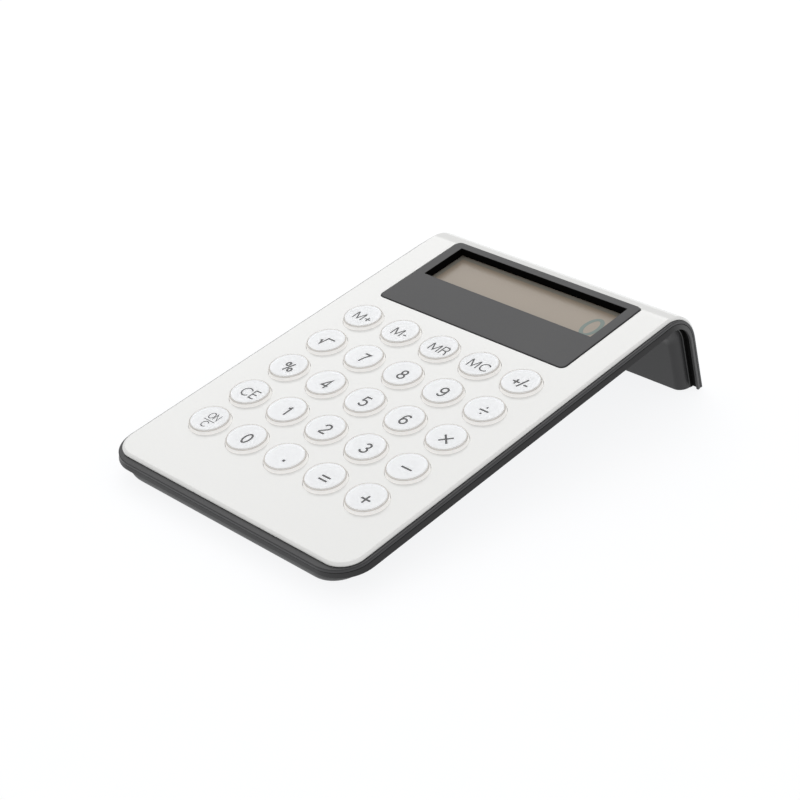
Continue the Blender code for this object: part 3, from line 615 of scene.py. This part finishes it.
def make_glass():
    """The display's glass with ground edges, its darker margin and the lit digit."""
    def outer(inset, z):
        return rectangle(GLASS_HALF - inset, GLASS_FRONT + inset, GLASS_REAR - inset, 0.3 * MM, z,
                         0.3 * MM, 3)

    walls = [rounded_wall(outer, GLASS_TOP, GLASS_LOW, 0.1 * MM, 0.1 * MM, 2)]
    add_piece("display_glass", solid(walls), POLARISER, "case", "lcd_glass")
    level = GLASS_TOP + PRINT_RISE
    margin = bmesh.new()
    add_strip(margin, [rectangle(35.9 * MM - inset, 65.3 * MM + inset * 0.3, 84.6 * MM - inset,
                                 0.2 * MM, level, 0.2 * MM, 3) for inset in (0.0, 1.7 * MM)])
    add_piece("display_margin", margin, MARGIN, "case", None)
    lit = merged([legend("0", 10.0 * MM, 29.6 * MM, 73.4 * MM, level, 0.14),
                  legend(".", 6.0 * MM, 33.6 * MM, 70.2 * MM, level, 0.17)])
    add_piece("display_digit", lit, DIGIT, "case", None)


# ---------------------------------------------------------------- keys and their legends

def arc(x, y, rx, ry, start, end, steps=14):
    """Points along an ellipse's arc, angles in degrees."""
    return [(x + rx * math.cos(math.radians(start + (end - start) * step / steps)),
             y + ry * math.sin(math.radians(start + (end - start) * step / steps)))
            for step in range(steps + 1)]


def oval(x, y, rx, ry):
    """A closed ellipse as a stroke that ends where it starts."""
    return arc(x, y, rx, ry, 0.0, 360.0, 28)


def turned_over(strokes, x, y):
    """Strokes turned half round a point."""
    return [[(2.0 * x - px, 2.0 * y - py) for px, py in stroke] for stroke in strokes]


SIX = [oval(0.31, 0.30, 0.25, 0.265),
       arc(0.33, 0.54, 0.265, 0.425, 42.0, 180.0) + [(0.06, 0.36)]]
GLYPHS = {
    "0": (0.62, [oval(0.31, 0.5, 0.25, 0.465)]),
    "1": (0.46, [[(0.32, 0.0), (0.32, 0.97)], [(0.34, 0.96), (0.25, 0.82), (0.08, 0.75)]]),
    "2": (0.62, [arc(0.31, 0.70, 0.25, 0.265, 175.0, -35.0) + [(0.09, 0.16), (0.05, 0.04)],
                 [(0.03, 0.04), (0.58, 0.04)]]),
    "3": (0.62, [arc(0.30, 0.745, 0.215, 0.22, 160.0, -90.0),
                 arc(0.29, 0.28, 0.26, 0.245, 95.0, -165.0)]),
    "4": (0.62, [[(0.45, 0.0), (0.45, 0.97), (0.05, 0.29), (0.61, 0.29)]]),
    "5": (0.62, [[(0.53, 0.93), (0.15, 0.93), (0.09, 0.48)],
                 arc(0.30, 0.31, 0.255, 0.275, 140.0, -155.0)]),
    "6": (0.62, SIX),
    "7": (0.62, [[(0.05, 0.93), (0.57, 0.93), (0.4, 0.66), (0.28, 0.36), (0.22, 0.0)]]),
    "8": (0.62, [oval(0.31, 0.735, 0.2, 0.215), oval(0.31, 0.275, 0.25, 0.24)]),
    "9": (0.62, turned_over(SIX, 0.31, 0.5)),
    "M": (1.12, [[(0.1, 0.0), (0.1, 0.9)], [(0.94, 0.9), (0.94, 0.0)],
                 [(0.1, 0.9), (0.16, 0.9), (0.52, 0.12), (0.88, 0.9), (0.94, 0.9)]]),
    "C": (0.96, [arc(0.5, 0.48, 0.4, 0.44, 38.0, 322.0, 26)]),
    "R": (0.76, [[(0.1, 0.0), (0.1, 0.95), (0.42, 0.95)] + arc(0.42, 0.72, 0.24, 0.23, 90.0, -90.0)
                 + [(0.1, 0.49)], [(0.46, 0.49), (0.62, 0.32), (0.64, 0.06), (0.69, 0.0)]]),
    "E": (0.68, [[(0.6, 0.05), (0.1, 0.05), (0.1, 0.95), (0.58, 0.95)], [(0.1, 0.5), (0.56, 0.5)]]),
    "O": (0.82, [oval(0.41, 0.5, 0.35, 0.465)]),
    "N": (0.76, [[(0.09, 0.0), (0.09, 0.97), (0.66, 0.03), (0.66, 1.0)]]),
    "+": (0.66, [[(0.05, 0.42), (0.61, 0.42)], [(0.33, 0.14), (0.33, 0.70)]]),
    "-": (0.42, [[(0.04, 0.36), (0.36, 0.36)]]),
    "/": (0.32, [[(0.02, -0.02), (0.30, 1.0)]]),
    ".": (0.2, [[(0.13, 0.22), (0.33, 0.22)]]),
    "=": (0.7, [[(0.07, 0.30), (0.63, 0.30)], [(0.07, 0.56), (0.63, 0.56)]]),
    "_": (0.8, [[(0.02, 0.44), (0.74, 0.44)]]),
    "x": (0.8, [[(0.12, 0.16), (0.68, 0.72)], [(0.12, 0.72), (0.68, 0.16)]]),
    ":": (0.8, [[(0.07, 0.44), (0.73, 0.44)], [(0.34, 0.14), (0.46, 0.14)],
                [(0.34, 0.74), (0.46, 0.74)]]),
    "%": (0.94, [oval(0.2, 0.74, 0.145, 0.19), oval(0.74, 0.26, 0.145, 0.19),
                 [(0.66, 0.98), (0.28, 0.0)]]),
    "v": (1.1, [[(0.0, 0.42), (0.12, 0.48), (0.26, 0.06), (0.42, 0.84), (1.05, 0.84)]]),
}
INK_WIDTH = 0.15
LEGEND_HEIGHT = 4.6 * MM


def add_stroke(form, points, width, z):
    """A flat band of one width along a line of points, with mitred corners."""
    closed = (Vector(points[0]) - Vector(points[-1])).length < 1e-9
    path = [Vector(point) for point in (points[:-1] if closed else points)]
    count = len(path)
    sides = []
    for index, point in enumerate(path):
        before = path[index - 1] if index or closed else None
        after = path[(index + 1) % count] if index < count - 1 or closed else None
        ways = [(b - a).normalized() for a, b in ((before, point), (point, after))
                if a is not None and b is not None]
        across = sum((Vector((-way.y, way.x)) for way in ways), Vector((0.0, 0.0))).normalized()
        reach = width / 2.0 / max(across.dot(Vector((-ways[0].y, ways[0].x))), 0.35)
        sides.append([form.verts.new((*(point + across * reach * side), z)) for side in (1, -1)])
    for index in range(count if closed else count - 1):
        first, second = sides[index], sides[(index + 1) % count]
        form.faces.new((first[0], first[1], second[1], second[0]))


def legend(text, height, x, y, z, ink=INK_WIDTH):
    """Text of stroked glyphs, centred on a point."""
    form = bmesh.new()
    cursor = -sum(GLYPHS[letter][0] for letter in text) / 2.0
    for letter in text:
        advance, strokes = GLYPHS[letter]
        for stroke in strokes:
            points = [(x + (cursor + px) * height, y + (py - 0.48) * height)
                      for px, py in stroke]
            add_stroke(form, points, ink * height, z)
        cursor += advance
    return form


def merged(forms):
    """Several bmeshes as one."""
    whole = bmesh.new()
    for form in forms:
        mesh = bpy.data.meshes.new("merge")
        form.to_mesh(mesh)
        form.free()
        whole.from_mesh(mesh)
        bpy.data.meshes.remove(mesh)
    return whole


def key_legend(name, z):
    """The legend of one key, in the key's own plane."""
    size = LEGEND_HEIGHT
    if name == "on_c":
        small = 2.9 * MM
        return merged([legend("ON", small, 0.0, 2.0 * MM, z, 0.125),
                       legend("C", small, 0.0, -2.2 * MM, z, 0.125),
                       legend("_", 6.6 * MM, 0.0, 0.0, z, 0.05)])
    texts = {"point": ".", "equals": "=", "plus": "+", "ce": "CE", "minus": "_",
             "percent": "%", "multiply": "x", "sqrt": "v", "divide": ":", "m_plus": "M+",
             "m_minus": "M-", "mr": "MR", "mc": "MC", "sign": "+/-"}
    wide = {"plus": 6.4, "minus": 5.6, "multiply": 5.9, "equals": 6.2, "divide": 5.4,
            "point": 4.6, "5": 4.9, "mc": 4.1, "mr": 4.1, "m_plus": 4.1, "m_minus": 4.1,
            "ce": 4.3}
    weights = {"point": 1.4, "ce": 0.75, "mc": 0.75, "mr": 0.75, "m_plus": 0.75, "m_minus": 0.75}
    height = wide[name] * MM if name in wide else size
    ink = INK_WIDTH * size / height * weights.get(name, 1.0)
    return legend(texts.get(name, name), height, 0.0, 0.0, z, ink)


def make_keys():
    """Clear caps in white cups, each with its printed legend on the cup's floor.

    The white surfaces that the clear cap touches lie just inside it, as if bonded.
    """
    cap = [(CAP_FLAT, CAP_TOP)]
    cap += [(CAP_FLAT + (CAP_RADIUS - CAP_FLAT) * out, CAP_TOP - (CAP_TOP - CAP_SHOULDER) * down)
            for out, down in list(quarter(6))[1:]]
    cap += [(CAP_RADIUS, CUP_RIM - LAP), (CUP_INSIDE + LAP, CUP_RIM - LAP),
            (CUP_INSIDE + LAP, PRINT_LEVEL - LAP)]
    carrier = [(CUP_INSIDE, PRINT_LEVEL), (CUP_INSIDE, CUP_RIM), (CAP_RADIUS - LAP, CUP_RIM),
               (CAP_RADIUS, CUP_RIM - 2.0 * LAP), (CAP_RADIUS, -0.1 * MM),
               (SKIRT_RADIUS - 0.03 * MM, -0.25 * MM), (SKIRT_RADIUS, FLANGE_TOP + SOFT),
               (FLANGE_RADIUS - SOFT, FLANGE_TOP), (FLANGE_RADIUS, FLANGE_TOP - SOFT),
               (FLANGE_RADIUS, KEY_LOW + SOFT), (FLANGE_RADIUS - SOFT, KEY_LOW)]
    for name, x, y in key_spots():
        body = "key_" + name
        place = DECK @ Matrix.Translation((x, y, 0.0))
        clear = turned(cap)
        # The cap's shoulder and side take the second, tinted material: painted shade at the cap's
        # edge
        for face in clear.faces:
            if face.calc_center_median().xy.length > CAP_FLAT and face.normal.z > -0.5:
                face.material_index = 1
        piece = add_piece(body + "_cap", clear, CLEAR, body, body, place)
        piece.data.materials.append(CAP_EDGE_PAINTED_SHADE)
        cup = turned(carrier)
        # The cup's outer walls and underside take the second material: painted shade with a faint
        # painted glow
        for face in cup.faces:
            spot = face.calc_center_median()
            if spot.xy.length > CUP_INSIDE + LAP or spot.z < PRINT_LEVEL - LAP:
                face.material_index = 1
        piece = add_piece(body + "_carrier", cup, CARRIER, body, None, place)
        piece.data.materials.append(KEY_SIDE_PAINTED_SHADE)
        add_piece(body + "_legend", key_legend(name, PRINT_LEVEL + PRINT_RISE), INK, body, None,
                  place)


# ---------------------------------------------------------------- underside and inside

def cross(x, y, size, z):
    """A ring of points round a crossed recess, whose arms reach 1.2 times size."""
    points = []
    for turn in range(4):
        angle = math.pi / 2.0 * turn
        for along, across in ((1.2, -0.25), (1.2, 0.25), (0.25, 0.25)):
            right = along * math.cos(angle) - across * math.sin(angle)
            up = along * math.sin(angle) + across * math.cos(angle)
            points.append(Vector((x + right * size, y + up * size, z)))
    return points


def make_details():
    """Battery door, screws with crossed recesses and soft-edged feet."""
    def door(inset, z):
        return rectangle(DOOR_HALF - inset, DOOR_FRONT + inset, DOOR_REAR - inset, 0.6 * MM, z,
                         0.6 * MM, 4, x=DOOR_X)

    def foot(x, inset, z):
        corner = FOOT_DEPTH - 0.01 * MM - inset
        return rectangle(FOOT_HALF - inset, REAR_FOOT - FOOT_DEPTH + inset,
                         REAR_FOOT + FOOT_DEPTH - inset, corner, z, corner, 8, x=x)

    grips = [[circle(x, 56.6 * MM, 0.5 * MM - inset, BOX_LOW + 2.0 * inset, 16)
              for inset in (0.0, 0.15 * MM)]
             for x in (-27.0 * MM, -25.0 * MM, -23.0 * MM)]
    well = [circle(*DOOR_SCREW, DOOR_WELL, z, 24) for z in (BOX_LOW, BOX_LOW + 0.65 * MM)]
    plate = solid([rounded_wall(door, DOOR_TOP, BOX_LOW, 0.1 * MM, 0.25 * MM, 3)], (),
                  grips + [well])
    add_piece("door", plate, RIM, "case", "battery_door")
    screws = [("case_screw_%d" % (row * 2 + column + 1), x, y, SCREW_HEAD, 0.1, 1.1, 0.4)
              for row, y in enumerate(SCREW_ROWS) for column, x in enumerate((-SCREW_X, SCREW_X))]
    screws.append(("battery_door_screw", *DOOR_SCREW, DOOR_SCREW_HEAD, 0.15, 0.4, 0.12))
    for name, x, y, radius, start, end, depth in screws:
        head = [circle(x, y, radius - inset, BOX_LOW + rise * MM, 32)
                for inset, rise in ((0.0, end), (0.0, start + 0.12), (0.12 * MM, start))]
        recess = [cross(x, y, radius / SCREW_HEAD * MM, BOX_LOW + rise * MM)
                  for rise in (start, start + depth)]
        add_piece(name + "_fine", solid([head], (), [recess]), SCREW, "case", name)
    for name, x in (("foot_rear_left", -FOOT_X), ("foot_rear_right", FOOT_X)):
        walls = rounded_wall(lambda inset, z, x=x: foot(x, inset, z), FOOT_HEIGHT, 0.0,
                             0.1 * MM, 0.25 * MM, 3)
        add_piece(name + "_fine", solid([walls]), RUBBER, "case", name,
                  Matrix.Identity(4))


def dress_the_rest():
    """Give every part of the frame that stays a material of its own."""
    finishes = {
        "lcd_holder": plastic("holder_grey", (0.3, 0.3, 0.3), 0.5),
        "zebra_strip": plastic("zebra_rubber", (0.3, 0.1, 0.12), 0.6, spread=0.2),
        "keypad_mat": plastic("mat_silicone", (0.75, 0.75, 0.74), 0.5),
        "main_pcb": plastic("board_brown", (0.22, 0.13, 0.06), 0.45, spread=0.2),
        "controller_chip": plastic("chip_resin", (0.02, 0.02, 0.02), 0.3),
        "capacitor": plastic("capacitor_amber", (0.55, 0.28, 0.06), 0.35, spread=0.1),
        "button_cell": metal("cell_steel", (0.6, 0.6, 0.6), 0.25),
        "battery_contact_plus": metal("contact_nickel", (0.7, 0.68, 0.62), 0.3),
        "battery_contact_minus": metal("contact_nickel_leaf", (0.7, 0.68, 0.62), 0.3),
        "foot_front_left": RUBBER,
        "foot_front_right": RUBBER,
    }
    for name, finish in finishes.items():
        mesh = bpy.data.objects[name].data
        mesh.materials.clear()
        mesh.materials.append(finish)


# ---------------------------------------------------------------- studio and camera

def make_camera():
    """Long lens, from the user's right and above."""
    camera = bpy.data.objects.new("camera", bpy.data.cameras.new("camera"))
    bpy.context.scene.collection.objects.link(camera)
    camera.data.lens = 82.0
    camera.data.sensor_width = 36.0
    camera.data.clip_start = 0.01
    camera.location = (0.350524, -0.364378, 0.287235)
    camera.rotation_euler = [math.radians(angle) for angle in (61.2946, 1.0385, 43.9107)]
    bpy.context.scene.camera = camera


def add_light(name, place, target, size, power, colour=(1.0, 1.0, 1.0)):
    """A soft square light aimed at a point."""
    data = bpy.data.lights.new(name, "AREA")
    data.shape = "SQUARE"
    data.size = size
    data.energy = power
    data.color = colour
    light = bpy.data.objects.new(name, data)
    bpy.context.scene.collection.objects.link(light)
    light.location = place
    aim = Vector(target) - Vector(place)
    light.rotation_euler = aim.to_track_quat("-Z", "Y").to_euler()


def make_studio():
    """White floor, bright even surroundings and one soft light."""
    form = bmesh.new()
    bmesh.ops.create_grid(form, x_segments=1, y_segments=1, size=4.0)
    mesh = bpy.data.meshes.new("floor")
    form.to_mesh(mesh)
    form.free()
    floor = bpy.data.objects.new("floor", mesh)
    bpy.context.scene.collection.objects.link(floor)
    mesh.materials.append(FLOOR)
    world = bpy.data.worlds.new("studio")
    bpy.context.scene.world = world
    world.use_nodes = True
    backdrop = world.node_tree.nodes["Background"]
    backdrop.inputs["Color"].default_value = (1.0, 1.0, 1.0, 1.0)
    backdrop.inputs["Strength"].default_value = 0.74
    add_light("key_light", (-0.7, 0.6, 1.0), (0.0, 0.0, 0.0), 0.9, 3.9)
    bpy.context.scene.view_settings.view_transform = "Standard"


make_camera()
make_cover()
make_upper_housing()
make_lower_housing()
make_bezel()
make_glass()
make_keys()
make_details()
dress_the_rest()
make_studio()
